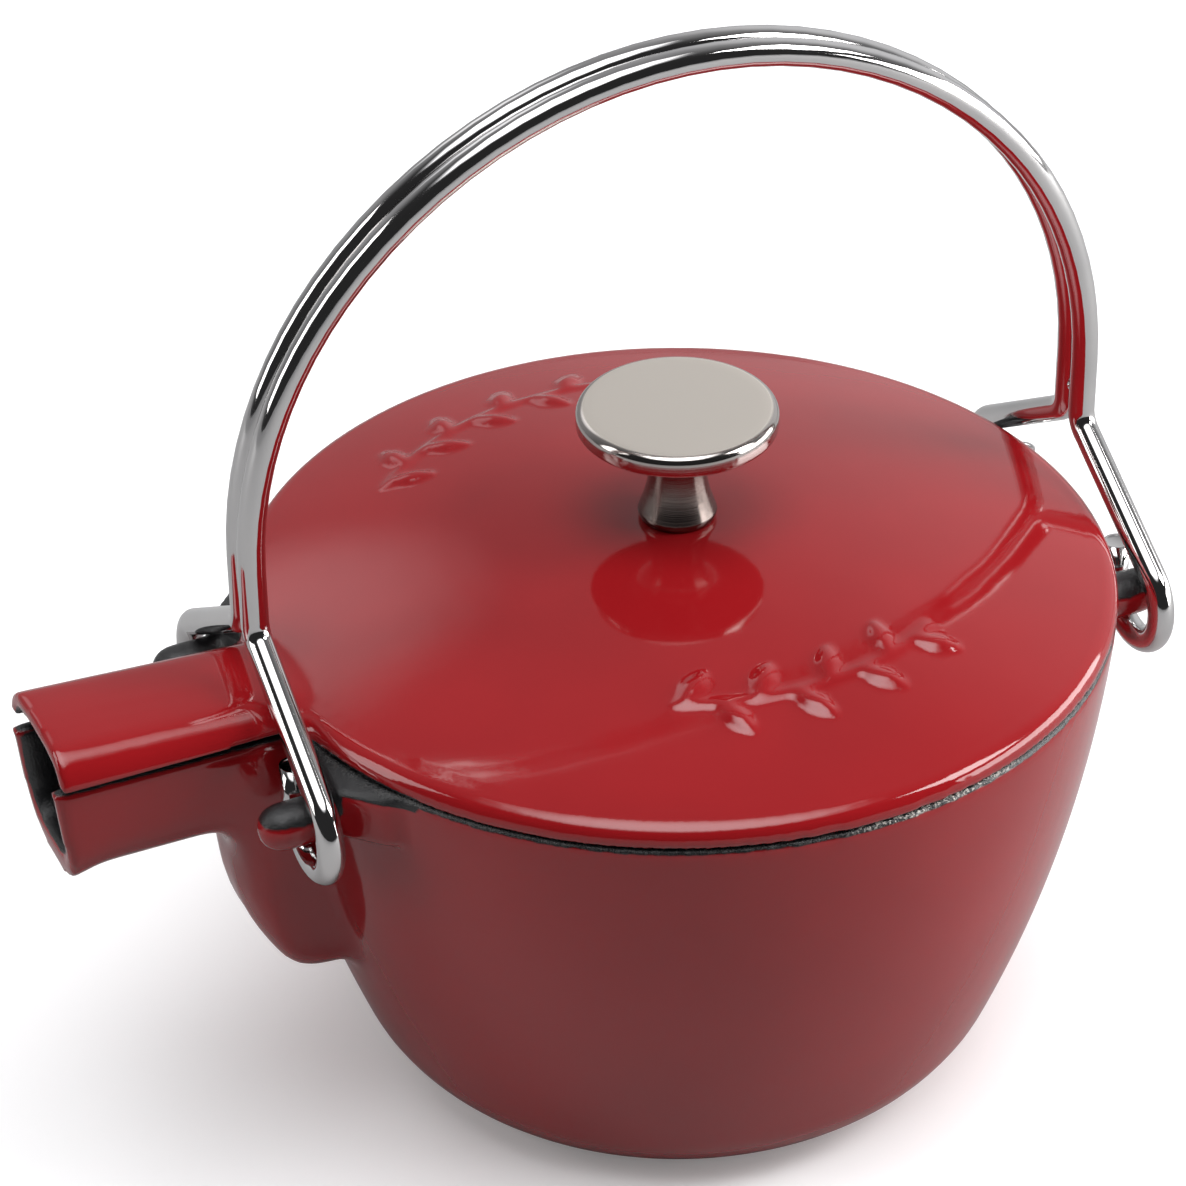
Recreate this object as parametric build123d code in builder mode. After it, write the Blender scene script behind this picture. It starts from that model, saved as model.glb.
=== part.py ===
"""Cast-iron stovetop kettle: bowl with a half-open spout, lid with the spout's roof, knob, bail handle.

Frame: millimetres, +Z up, origin at the centre of the resting face, spout along +X.
"""

from build123d import *

import os
from math import asin, atan2, cos, hypot, pi, radians, sin, sqrt, tan

os.makedirs("parts", exist_ok=True)

# ---------------------------------------------------------------- driving dimensions
# Bowl
RIM_RADIUS = 82.0  # outside of the bowl and of the lid
RIM_HEIGHT = 96.4  # flat top of the rim
BASE_RADIUS = 43.0  # flat resting face
HEEL_RADIUS = 22.0  # rounding between the resting face and the side
HEEL_TURN = 69.0  # degrees that the rounding turns before the side takes over
WALL = 4.0
CUT_MARGIN = 5.0  # how far a cutting shape runs past the surface that it cuts

# Spout: a trough cast on the bowl, with a deep fairing under it
SPOUT_TIP_X = 126.2
SPOUT_HALF_WIDTH = 12.6
SPOUT_FLOOR_Z = 74.6  # underside of the trough
TROUGH_TOP_Z = 95.8
SPOUT_WALL = 3.8
FAIRING_RADIUS = 4.0  # hollow rounding where the spout grows out of the bowl
SPOUT_EDGE_RADIUS = 9.0  # rounding along the trough's and the fairing's lower edges
MOUTH_RAKE = 2.6  # how far the lower lip stands back from the upper one
LIP_DROP = 1.6
LIP_LENGTH = 8.0  # length of the drip lip's curve, back from the mouth
SPOUT_ROOT_X = 60.0  # end of the casting inside the bowl's wall
NOSE_X = 92.0  # foremost point of the fairing
KEEL_BOTTOM_Z = 37.6  # where the fairing runs out on the bowl's side
THROAT_LENGTH = 6.5  # hollow curve from the trough's underside down to the fairing
THROAT_DEPTH = 9.0
KEEL_POINTS = ((89.8, 53.0), (84.6, 42.6), (76.0, KEEL_BOTTOM_Z))  # front of the fairing, (x, z)
INNER_KEEL_POINTS = ((86.4, 56.0), (80.0, 46.6), (72.0, 44.6))  # its inside, (x, z)
INNER_KEEL_BOTTOM_Z = 49.6

# Pegs that carry the handle
PEG_RADIUS = 4.4
PEG_Y = 27.0
PEG_Z = 87.6
FRONT_PEG_BALL_X = 90.2  # centre of the round end, spout side
BACK_PEG_BALL_X = -84.2
PEG_ROOT_X = 74.2
LEDGE_PLAN = ((72.0, 17.0), (79.8, 17.0), (81.0, 24.0), (81.0, 31.0), (74.0, 38.5), (66.0, 38.5))
LEDGE_TOP_Z = 95.0
LEDGE_BOTTOM_Z = 85.0

# Lid
LID_GAP = 0.2  # the lid's flange above the rim
CROWN_Z = 112.5
ROLL_RADIUS = 3.2  # rounding of the lid's edge
ROLL_Z = 97.6
LID_WALL = 4.2
SKIRT_RADIUS = 76.4  # outside of the ring that centres the lid in the bowl
SKIRT_WALL = 3.2
SKIRT_BOTTOM_Z = 92.0
BOSS_RADIUS = 9.0
BOSS_DEPTH = 2.0  # below the dome's inside
SEAT_DEPTH = 0.15  # small flat that the knob stands on, below the crown
HOOD_HALF_WIDTH = 15.0
HOOD_TIP_X = 125.2
HOOD_EDGE_Z = 97.2
HOOD_TOP_Z = 104.1  # at the tip
HOOD_ROOT_TOP_Z = 102.0  # where the hood meets the lid's edge
HOOD_WALL = 3.0
HOOD_CROWN = 1.2  # how far the hood's roof bulges
HOOD_EDGE_RADIUS = 7.6
HOOD_DEPTH = 6.0  # how far the hood's blank runs below its edge before it is cut off
HOOD_ROOT_X = 74.5
HOOD_ROOT_RADIUS = 7.0  # hollow rounding where the hood grows out of the dome
SCREW_HOLE_RADIUS = 2.6

# Knob
KNOB_RADIUS = 18.6
KNOB_TOP_Z = 135.7
KNOB_DISC_Z = 131.7  # underside of the disc
KNOB_WAIST_RADIUS = 5.2
KNOB_FOOT_RADIUS = 7.35
KNOB_FOOT_BEVEL = (0.5, 1.3)  # width and height of the tuck-in at the foot
KNOB_STEM = ((6.6, 4.4), (5.55, 8.6), (KNOB_WAIST_RADIUS, 12.5))  # (radius, height above the seat)
KNOB_FLARE = (7.4, 1.6)  # stem's radius just under the disc, and how far under
KNOB_FLARE_END = 11.0  # radius where the stem has become the disc's underside
KNOB_TOP_EDGE = 1.7
KNOB_UNDER_EDGE = 0.8
THREAD_RADIUS = 2.5
THREAD_DEPTH = 12.0
FLAT_WASHER_RADIUS = 5.5
FLAT_WASHER_HEIGHT = 1.0
WASHER_CLEARANCE = 0.1  # between the thread and a washer's hole
WASHER_CHAMFER = 0.2
SPRING_WASHER_RADIUS = 4.5
SPRING_WASHER_HEIGHT = 1.2
SPRING_CUT = (4.0, 0.6)  # length and width of the spring washer's cut
SPRING_CUT_ANGLE = 20.0
SCREW_HEAD_RADIUS = 4.4
SCREW_HEAD_HEIGHT = 2.6
SCREW_HEAD_EDGE = 1.2
SCREW_SLOT = 1.2  # width and depth
SCREW_FIT = 0.05  # the screw's thread inside the knob's
SCREW_END_GAP = 1.5  # from the screw's tip to the bottom of the knob's thread
SCREW_TIP_CHAMFER = 0.4

# Handle: two bent rods side by side
ROD_RADIUS = 2.55
ROD_Y = 2.62  # centre line of each rod along the arch
ARCH_HALF_WIDTH = 84.1
ARCH_APEX_Z = 206.4
SIDE_ARC_RADIUS = 78.0
SIDE_ARC_TURN = 40.0
SPLIT_Z = 112.0  # corner where the two rods part
SPLIT_BEND_RADIUS = 5.0
HOOK_RADIUS = 8.6
HOOK_Y = 27.0
HOOK_Z = 86.2
HOOK_END_Z = 93.6
WELD_LENGTH = 5.0
WELD_WIDTH = 3.4
WELD_GAP = 1.0  # from the split's bend up to the weld bead

# ---------------------------------------------------------------- bowl outline
# The side is one arc, tangent to the heel and ending at the rim.
heel_angle = radians(HEEL_TURN)
heel_end = Vector(
    BASE_RADIUS + HEEL_RADIUS * sin(heel_angle), HEEL_RADIUS * (1 - cos(heel_angle))
)
to_rim = Vector(RIM_RADIUS, RIM_HEIGHT) - heel_end
inward = Vector(-sin(heel_angle), cos(heel_angle))
side_radius = to_rim.length**2 / (2 * to_rim.dot(inward))
side_centre = heel_end + inward * side_radius


def side_x(inset, z):
    """Radius of the bowl's side, moved inwards by inset, at height z."""
    return side_centre.X + sqrt((side_radius - inset) ** 2 - (z - side_centre.Y) ** 2)


def bowl_half_section(inset, top):
    """Closed half section of the bowl, parallel to its outside, up to the height top."""
    heel = (HEEL_RADIUS - inset) * Vector(sin(heel_angle), -cos(heel_angle))
    corner = Vector(BASE_RADIUS, HEEL_RADIUS) + heel
    middle_z = (corner.Y + top) / 2
    half_turn = heel_angle / 2
    heel_middle = Vector(BASE_RADIUS, HEEL_RADIUS) + (HEEL_RADIUS - inset) * Vector(
        sin(half_turn), -cos(half_turn)
    )
    Polyline((side_x(inset, top), top), (0, top), (0, inset), (BASE_RADIUS, inset))
    ThreePointArc(
        (BASE_RADIUS, inset), (heel_middle.X, heel_middle.Y), (corner.X, corner.Y)
    )
    ThreePointArc(
        (corner.X, corner.Y), (side_x(inset, middle_z), middle_z), (side_x(inset, top), top)
    )


# ---------------------------------------------------------------- spout casting
# Side outline of the trough and of the fairing under it, as one blank with round edges.
lip_x = SPOUT_TIP_X - MOUTH_RAKE
lip_z = SPOUT_FLOOR_Z - LIP_DROP
edge_top_z = TROUGH_TOP_Z - 12.0  # only edges below this height are rounded

with BuildPart() as spout_blank:
    with BuildSketch(Plane.XZ):
        with BuildLine():
            Polyline(
                (SPOUT_ROOT_X, KEEL_BOTTOM_Z),
                (SPOUT_ROOT_X, TROUGH_TOP_Z),
                (SPOUT_TIP_X, TROUGH_TOP_Z),
                (lip_x, lip_z),
            )
            lip = Spline(
                (lip_x, lip_z),
                (lip_x - 0.44 * LIP_LENGTH, SPOUT_FLOOR_Z - 0.45 * LIP_DROP),
                (lip_x - LIP_LENGTH, SPOUT_FLOOR_Z),
                tangents=[(-1, 0.1), (-1, 0)],
            )
            Line(lip @ 1, (NOSE_X + THROAT_LENGTH, SPOUT_FLOOR_Z))
            throat = Spline(
                (NOSE_X + THROAT_LENGTH, SPOUT_FLOOR_Z),
                (NOSE_X + 0.215 * THROAT_LENGTH, SPOUT_FLOOR_Z - THROAT_DEPTH / 3),
                (NOSE_X, SPOUT_FLOOR_Z - THROAT_DEPTH),
                tangents=[(-1, 0), (-0.05, -1)],
            )
            keel = Spline(throat @ 1, *KEEL_POINTS, tangents=[(-0.05, -1), (-1, -0.05)])
            Line(keel @ 1, (SPOUT_ROOT_X, KEEL_BOTTOM_Z))
        make_face()
    extrude(amount=SPOUT_HALF_WIDTH, both=True)
    along = spout_blank.edges().filter_by(Axis.Y, reverse=True)
    below = along.filter_by(lambda edge: edge.center().Z < edge_top_z)
    fillet(below.filter_by(lambda edge: edge.center().X > SPOUT_ROOT_X + 1.0), SPOUT_EDGE_RADIUS)

# The hollow of the same shape, one wall smaller
inner_floor_z = SPOUT_FLOOR_Z + SPOUT_WALL
inner_nose_x = NOSE_X - WALL
with BuildPart() as spout_core:
    with BuildSketch(Plane.XZ):
        with BuildLine():
            Polyline(
                (SPOUT_ROOT_X, INNER_KEEL_BOTTOM_Z),
                (SPOUT_ROOT_X, RIM_HEIGHT + CUT_MARGIN),
                (SPOUT_TIP_X + CUT_MARGIN, RIM_HEIGHT + CUT_MARGIN),
                (SPOUT_TIP_X + CUT_MARGIN, inner_floor_z),
                (inner_nose_x + THROAT_LENGTH - 1.0, inner_floor_z),
            )
            inner_throat = Spline(
                (inner_nose_x + THROAT_LENGTH - 1.0, inner_floor_z),
                (inner_nose_x + 0.215 * THROAT_LENGTH, inner_floor_z - 0.9 * THROAT_DEPTH / 3),
                (inner_nose_x, inner_floor_z - 1.2 * THROAT_DEPTH),
                tangents=[(-1, 0), (-0.05, -1)],
            )
            inner_keel = Spline(
                inner_throat @ 1, *INNER_KEEL_POINTS, tangents=[(-0.05, -1), (-1, -0.3)]
            )
            Line(inner_keel @ 1, (SPOUT_ROOT_X, INNER_KEEL_BOTTOM_Z))
        make_face()
    extrude(amount=SPOUT_HALF_WIDTH - SPOUT_WALL, both=True)
    along = spout_core.edges().filter_by(Axis.Y, reverse=True)
    below = along.filter_by(lambda edge: edge.center().Z < edge_top_z)
    fillet(
        below.filter_by(lambda edge: edge.center().X > SPOUT_ROOT_X + 1.0),
        SPOUT_EDGE_RADIUS - SPOUT_WALL,
    )


def on_bowl(point):
    """Whether a point lies on the bowl's outside."""
    return abs(hypot(point.X, point.Y) - side_x(0, point.Z)) < 0.05


# ---------------------------------------------------------------- kettle body
with BuildPart() as kettle_body:
    with BuildSketch(Plane.XZ):
        with BuildLine():
            bowl_half_section(0.0, RIM_HEIGHT)
        make_face()
    revolve(axis=Axis.Z)
    add(spout_blank.part)
    seam = kettle_body.edges().filter_by(
        lambda edge: KEEL_BOTTOM_Z < edge.center().Z < TROUGH_TOP_Z - 1.0
        and all(on_bowl(edge @ place) for place in (0.25, 0.5, 0.8))
    )
    fillet(seam, FAIRING_RADIUS)

    # Pegs with round ends, two at the spout and two shorter ones at the back
    for root_x, ball_x in ((PEG_ROOT_X, FRONT_PEG_BALL_X), (-PEG_ROOT_X, BACK_PEG_BALL_X)):
        for y in (PEG_Y, -PEG_Y):
            with BuildSketch(Plane.YZ.offset(root_x)):
                with Locations((y, PEG_Z)):
                    Circle(PEG_RADIUS)
            extrude(amount=ball_x - root_x)
            with Locations((ball_x, y, PEG_Z)):
                Sphere(PEG_RADIUS)

    # Ledges that carry the roots of the spout-side pegs up to the rim
    for side in (1, -1):
        with BuildSketch(Plane.XY.offset(LEDGE_BOTTOM_Z)):
            with BuildLine():
                Polyline(*[(x, side * y) for x, y in LEDGE_PLAN], close=True)
            make_face()
        extrude(amount=LEDGE_TOP_Z - LEDGE_BOTTOM_Z)

    # Inside of the bowl
    with BuildSketch(Plane.XZ):
        with BuildLine():
            bowl_half_section(WALL, RIM_HEIGHT)
        make_face()
    revolve(axis=Axis.Z, mode=Mode.SUBTRACT)
    add(spout_core.part, mode=Mode.SUBTRACT)

kettle_body.part.label = "kettle_body"
export_step(kettle_body.part, "parts/kettle_body.step")

# ---------------------------------------------------------------- lid
# The domed top is one arc, tangent to the rolled edge.
roll_x = RIM_RADIUS - ROLL_RADIUS
drop = CROWN_Z - ROLL_Z
dome_radius = (roll_x**2 + drop**2 - ROLL_RADIUS**2) / (2 * (drop - ROLL_RADIUS))
dome_centre_z = CROWN_Z - dome_radius
edge_angle = atan2(roll_x, ROLL_Z - dome_centre_z)  # from the vertical, at the tangent point
flange_z = RIM_HEIGHT + LID_GAP
roll_middle = radians(20.0)  # a place on the rolled edge, above the horizontal
roll_foot_x = roll_x + sqrt(ROLL_RADIUS**2 - (ROLL_Z - flange_z) ** 2)
seat_z = CROWN_Z - SEAT_DEPTH


def dome_point(radius, angle):
    """Point of the dome's half section, as (r, z), at an angle from the vertical."""
    return (radius * sin(angle), dome_centre_z + radius * cos(angle))


inner_dome_radius = dome_radius - LID_WALL
skirt_inner_x = SKIRT_RADIUS - SKIRT_WALL
skirt_angle = asin(skirt_inner_x / inner_dome_radius)
boss_bottom_z = CROWN_Z - LID_WALL - BOSS_DEPTH


def arched_outline(half_width, top, bottom):
    """Closed outline of the hood or of its channel, in a plane across the spout."""
    eaves = top - HOOD_CROWN
    Polyline((-half_width, eaves), (-half_width, bottom), (half_width, bottom), (half_width, eaves))
    ThreePointArc((half_width, eaves), (0, top), (-half_width, eaves))


# Hood: the roof of the spout, from under the dome out to the tip
hood_slope = (HOOD_TOP_Z - HOOD_ROOT_TOP_Z) / (HOOD_TIP_X - RIM_RADIUS)
with BuildPart() as hood_blank:
    for x in (HOOD_ROOT_X, HOOD_TIP_X):
        top = HOOD_TOP_Z - hood_slope * (HOOD_TIP_X - x)
        with BuildSketch(Plane.YZ.offset(x)) as section:
            with BuildLine():
                arched_outline(HOOD_HALF_WIDTH, top, HOOD_EDGE_Z - HOOD_DEPTH)
            make_face()
            fillet(section.vertices().group_by(Axis.Y)[-1], HOOD_EDGE_RADIUS)
    loft()
    with BuildSketch(Plane.XY.offset(HOOD_EDGE_Z)):
        Rectangle(4 * RIM_RADIUS, 4 * HOOD_HALF_WIDTH)
    extrude(amount=-HOOD_DEPTH - CUT_MARGIN, mode=Mode.SUBTRACT)

# Channel under the hood, open through the skirt
with BuildPart() as hood_channel:
    for x in (HOOD_ROOT_X - 2 * LID_WALL, HOOD_TIP_X + CUT_MARGIN):
        top = HOOD_TOP_Z - hood_slope * (HOOD_TIP_X - x) - HOOD_WALL
        with BuildSketch(Plane.YZ.offset(x)) as section:
            with BuildLine():
                arched_outline(HOOD_HALF_WIDTH - HOOD_WALL, top, SKIRT_BOTTOM_Z - CUT_MARGIN)
            make_face()
            fillet(section.vertices().group_by(Axis.Y)[-1], HOOD_EDGE_RADIUS - HOOD_WALL)
    loft()

with BuildPart() as lid:
    with BuildSketch(Plane.XZ):
        with BuildLine():
            Line((0, CROWN_Z - LID_WALL), (0, CROWN_Z))
            ThreePointArc(
                (0, CROWN_Z),
                dome_point(dome_radius, edge_angle / 2),
                dome_point(dome_radius, edge_angle),
            )
            ThreePointArc(
                dome_point(dome_radius, edge_angle),
                (roll_x + ROLL_RADIUS * cos(roll_middle), ROLL_Z + ROLL_RADIUS * sin(roll_middle)),
                (roll_foot_x, flange_z),
            )
            Polyline(
                (roll_foot_x, flange_z),
                (SKIRT_RADIUS, flange_z),
                (SKIRT_RADIUS, SKIRT_BOTTOM_Z),
                (skirt_inner_x, SKIRT_BOTTOM_Z),
                dome_point(inner_dome_radius, skirt_angle),
            )
            ThreePointArc(
                dome_point(inner_dome_radius, skirt_angle),
                dome_point(inner_dome_radius, skirt_angle / 2),
                (0, CROWN_Z - LID_WALL),
            )
        make_face()
    revolve(axis=Axis.Z)

    add(hood_blank.part)
    hood_seam = lid.edges(Select.NEW).filter_by(
        lambda edge: edge.center().X > HOOD_ROOT_X and edge.center().Z > HOOD_EDGE_Z + 1.0
    )
    fillet(hood_seam, HOOD_ROOT_RADIUS)
    add(hood_channel.part, mode=Mode.SUBTRACT)

    # Boss and hole for the knob's screw, and the small flat that the knob stands on
    with BuildSketch(Plane.XY.offset(boss_bottom_z)):
        Circle(BOSS_RADIUS)
    extrude(amount=CROWN_Z - LID_WALL / 2 - boss_bottom_z)
    with BuildSketch(Plane.XY.offset(seat_z)):
        Circle(3 * BOSS_RADIUS)
    extrude(amount=CUT_MARGIN, mode=Mode.SUBTRACT)
    with BuildSketch(Plane.XY.offset(boss_bottom_z)):
        Circle(SCREW_HOLE_RADIUS)
    extrude(amount=CROWN_Z - boss_bottom_z, mode=Mode.SUBTRACT)

lid.part.label = "lid"
export_step(lid.part, "parts/lid.step")

# ---------------------------------------------------------------- knob
with BuildPart() as lid_knob:
    with BuildSketch(Plane.XZ):
        with BuildLine():
            tuck, tuck_height = KNOB_FOOT_BEVEL
            Polyline((0, KNOB_TOP_Z), (0, seat_z), (KNOB_FOOT_RADIUS - tuck, seat_z))
            foot = Line(
                (KNOB_FOOT_RADIUS - tuck, seat_z), (KNOB_FOOT_RADIUS, seat_z + tuck_height)
            )
            Spline(
                foot @ 1,
                *[(radius, seat_z + height) for radius, height in KNOB_STEM],
                (KNOB_FLARE[0], KNOB_DISC_Z - KNOB_FLARE[1]),
                (KNOB_FLARE_END, KNOB_DISC_Z),
                tangents=[(-0.15, 1), (1, 0.05)],
            )
            Polyline(
                (KNOB_FLARE_END, KNOB_DISC_Z),
                (KNOB_RADIUS, KNOB_DISC_Z),
                (KNOB_RADIUS, KNOB_TOP_Z),
                (0, KNOB_TOP_Z),
            )
        make_face()
    revolve(axis=Axis.Z)
    top_rim = lid_knob.edges().filter_by(GeomType.CIRCLE).group_by(Axis.Z)[-1]
    fillet(top_rim, KNOB_TOP_EDGE)
    under_rim = lid_knob.edges().filter_by(GeomType.CIRCLE).filter_by(
        lambda edge: abs(edge.radius - KNOB_RADIUS) < 0.01 and edge.center().Z < KNOB_DISC_Z + 0.1
    )
    fillet(under_rim, KNOB_UNDER_EDGE)
    with BuildSketch(Plane.XY.offset(seat_z)):
        Circle(THREAD_RADIUS)
    extrude(amount=THREAD_DEPTH, mode=Mode.SUBTRACT)

lid_knob.part.label = "lid_knob"
export_step(lid_knob.part, "parts/lid_knob.step")

# ---------------------------------------------------------------- screw and washers
washer_z = boss_bottom_z - FLAT_WASHER_HEIGHT
spring_z = washer_z - SPRING_WASHER_HEIGHT

with BuildPart() as flat_washer:
    with BuildSketch(Plane.XY.offset(washer_z)):
        Circle(FLAT_WASHER_RADIUS)
        Circle(SCREW_HOLE_RADIUS + WASHER_CLEARANCE, mode=Mode.SUBTRACT)
    extrude(amount=FLAT_WASHER_HEIGHT)
    chamfer(flat_washer.edges().group_by(Axis.Z)[0].sort_by(SortBy.RADIUS)[-1], WASHER_CHAMFER)

flat_washer.part.label = "flat_washer"
export_step(flat_washer.part, "parts/flat_washer.step")

with BuildPart() as spring_washer:
    with BuildSketch(Plane.XY.offset(spring_z)):
        Circle(SPRING_WASHER_RADIUS)
        Circle(SCREW_HOLE_RADIUS + WASHER_CLEARANCE, mode=Mode.SUBTRACT)
        with Locations((SPRING_WASHER_RADIUS - 1.0, 0)):
            Rectangle(*SPRING_CUT, rotation=SPRING_CUT_ANGLE, mode=Mode.SUBTRACT)
    extrude(amount=SPRING_WASHER_HEIGHT)

spring_washer.part.label = "spring_washer"
export_step(spring_washer.part, "parts/spring_washer.step")

with BuildPart() as knob_screw:
    with BuildSketch(Plane.XY.offset(spring_z - SCREW_HEAD_HEIGHT)):
        Circle(SCREW_HEAD_RADIUS)
    extrude(amount=SCREW_HEAD_HEIGHT)
    fillet(knob_screw.edges().group_by(Axis.Z)[0], SCREW_HEAD_EDGE)
    with BuildSketch(Plane.XY.offset(spring_z)):
        Circle(THREAD_RADIUS - SCREW_FIT)
    extrude(amount=seat_z + THREAD_DEPTH - SCREW_END_GAP - spring_z)
    chamfer(knob_screw.edges().group_by(Axis.Z)[-1], SCREW_TIP_CHAMFER)
    with BuildSketch(Plane.XY.offset(spring_z - SCREW_HEAD_HEIGHT)):
        Rectangle(3 * SCREW_HEAD_RADIUS, SCREW_SLOT)
    extrude(amount=SCREW_SLOT, mode=Mode.SUBTRACT)

knob_screw.part.label = "knob_screw"
export_step(knob_screw.part, "parts/knob_screw.step")

# ---------------------------------------------------------------- handle rods
# In the plane across the spout, a straight leg runs from the split to the hook, tangent to both.
to_hook = Vector(HOOK_Y - ROD_Y, HOOK_Z - SPLIT_Z)
leg_angle = atan2(to_hook.Y, to_hook.X) + asin(HOOK_RADIUS / to_hook.length)
leg_length = sqrt(to_hook.length**2 - HOOK_RADIUS**2)
bend_setback = SPLIT_BEND_RADIUS * tan((pi / 2 + leg_angle) / 2)

# The arch has a flatter arc up each side and a rounder one over the top.
turn = radians(SIDE_ARC_TURN)
shoulder_x = ARCH_HALF_WIDTH - SIDE_ARC_RADIUS * (1 - cos(turn))
top_arc_radius = shoulder_x / cos(turn)
shoulder_z = ARCH_APEX_Z - top_arc_radius * (1 - sin(turn))
arch_foot_z = shoulder_z - SIDE_ARC_RADIUS * sin(turn)

for name, side in (("handle_left_rod", 1), ("handle_right_rod", -1)):
    y = side * ROD_Y

    def at_end(end, across, z):
        """Point of the leg and hook at one end (+1 spout, -1 back), across from the centre plane."""
        return Vector(end * ARCH_HALF_WIDTH, side * across, z)

    with BuildPart() as rod:
        with BuildLine() as path:
            for end in (1, -1):
                tip = at_end(end, HOOK_Y - HOOK_RADIUS, HOOK_END_Z)
                inner = at_end(end, HOOK_Y - HOOK_RADIUS, HOOK_Z)
                bottom = at_end(end, HOOK_Y, HOOK_Z - HOOK_RADIUS)
                outer = at_end(
                    end,
                    ROD_Y + leg_length * cos(leg_angle),
                    SPLIT_Z + leg_length * sin(leg_angle),
                )
                leg_top = at_end(
                    end,
                    ROD_Y + bend_setback * cos(leg_angle),
                    SPLIT_Z + bend_setback * sin(leg_angle),
                )
                split_top = at_end(end, ROD_Y, SPLIT_Z + bend_setback)
                foot = at_end(end, ROD_Y, arch_foot_z)
                shoulder = Vector(end * shoulder_x, y, shoulder_z)
                Line(tip, inner)
                ThreePointArc(inner, bottom, outer)
                Line(outer, leg_top)
                TangentArc(leg_top, split_top, tangent=leg_top - outer)
                Line(split_top, foot)
                TangentArc(foot, shoulder, tangent=(0, 0, 1))
            ThreePointArc(
                (-shoulder_x, y, shoulder_z), (0, y, ARCH_APEX_Z), (shoulder_x, y, shoulder_z)
            )
        start = at_end(1, HOOK_Y - HOOK_RADIUS, HOOK_END_Z)
        with BuildSketch(Plane(origin=start, z_dir=(0, 0, -1))):
            Circle(ROD_RADIUS)
        sweep(path=path.wires()[0])
    rod.part.label = name
    export_step(rod.part, f"parts/{name}.step")
    if side == 1:
        left_rod = rod.part
    else:
        right_rod = rod.part

# Weld beads that fill the groove between the rods just above each split
with BuildPart() as handle_weld_beads:
    for end in (1, -1):
        with BuildSketch(Plane.XY.offset(SPLIT_Z + bend_setback + WELD_GAP)):
            with Locations((end * ARCH_HALF_WIDTH, 0)):
                Rectangle(WELD_WIDTH, ROD_Y)
        extrude(amount=WELD_LENGTH)
    add(left_rod, mode=Mode.SUBTRACT)
    add(right_rod, mode=Mode.SUBTRACT)

handle_weld_beads.part.label = "handle_weld_beads"
export_step(handle_weld_beads.part, "parts/handle_weld_beads.step")
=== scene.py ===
# %% [markdown]
# # A cast-iron tea kettle under studio light
# The kettle is four things to look at: a heavy bowl with half a spout, a lid that carries the other
# half, a turned knob, and a handle bent from two chromed rods. The solid model already fixes every
# size, so this lesson is about surfaces: soft enamelled edges, clear reflections, and honest metal.

# %% Load the fixed frame
from math import asin, atan2, cos, degrees, pi, radians, sin, sqrt

import bmesh
import bpy
import numpy as np
from mathutils import Matrix, Vector
from mathutils.geometry import interpolate_bezier


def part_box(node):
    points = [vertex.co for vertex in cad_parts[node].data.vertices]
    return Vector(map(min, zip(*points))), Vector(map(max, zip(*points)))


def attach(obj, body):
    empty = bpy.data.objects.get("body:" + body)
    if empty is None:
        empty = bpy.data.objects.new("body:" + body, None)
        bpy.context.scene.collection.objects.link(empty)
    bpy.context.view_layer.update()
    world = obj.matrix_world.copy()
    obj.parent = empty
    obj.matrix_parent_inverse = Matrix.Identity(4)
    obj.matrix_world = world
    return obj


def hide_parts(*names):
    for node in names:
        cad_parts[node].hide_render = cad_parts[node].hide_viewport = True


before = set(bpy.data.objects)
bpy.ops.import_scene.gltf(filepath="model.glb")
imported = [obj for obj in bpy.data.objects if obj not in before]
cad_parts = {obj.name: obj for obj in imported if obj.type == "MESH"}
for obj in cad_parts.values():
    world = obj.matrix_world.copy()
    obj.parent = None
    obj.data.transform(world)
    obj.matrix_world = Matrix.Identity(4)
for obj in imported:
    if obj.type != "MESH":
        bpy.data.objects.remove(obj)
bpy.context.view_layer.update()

MM = 0.001
scene = bpy.context.scene

# %% [markdown]
# ## The camera
# A long lens from a little above keeps the round rim from bulging. The kettle stands right of the
# middle so that the spout has room on the left, and a small lens shift does that without turning
# the camera and without bending any upright line.

# %% Camera
camera_data = bpy.data.cameras.new("studio_camera")
camera_data.lens = 132.05
camera_data.sensor_width = 36.0
camera_data.shift_x = -0.0712
camera_data.dof.use_dof = False
camera = bpy.data.objects.new("studio_camera", camera_data)
scene.collection.objects.link(camera)
camera.location = (0.2902, 0.6091, 0.5483)
look_at = Vector((0.0, 0.0, 0.0947))
camera.rotation_mode = "QUATERNION"
camera.rotation_quaternion = (look_at - camera.location).to_track_quat("-Z", "Y")
scene.camera = camera
print("camera distance", round((look_at - camera.location).length, 3), "m")

# %% [markdown]
# ## The studio
# Enamel and chrome are mirrors, so they look like whatever stands around them. Big soft boxes give
# broad, gentle highlights, and the room is dark on the camera's side, which gives the chrome its grey
# bands and lets the near side of the bowl fall into a deeper red.

# %% A helper that aims a thing at the kettle
def aimed(obj, place, target=(0.0, 0.0, 0.09)):
    """Puts obj at place with its -Z side facing the target."""
    scene.collection.objects.link(obj)
    obj.location = place
    direction = Vector(target) - Vector(place)
    obj.rotation_mode = "QUATERNION"
    obj.rotation_quaternion = direction.to_track_quat("-Z", "Y")
    return obj


def soft_box(name, place, width, height, power, target=(0.0, 0.0, 0.09)):
    """A rectangular area light aimed at the kettle."""
    light = bpy.data.lights.new(name, "AREA")
    light.shape = "RECTANGLE"
    light.size, light.size_y = width, height
    light.energy = power
    return aimed(bpy.data.objects.new(name, light), place, target)


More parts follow.
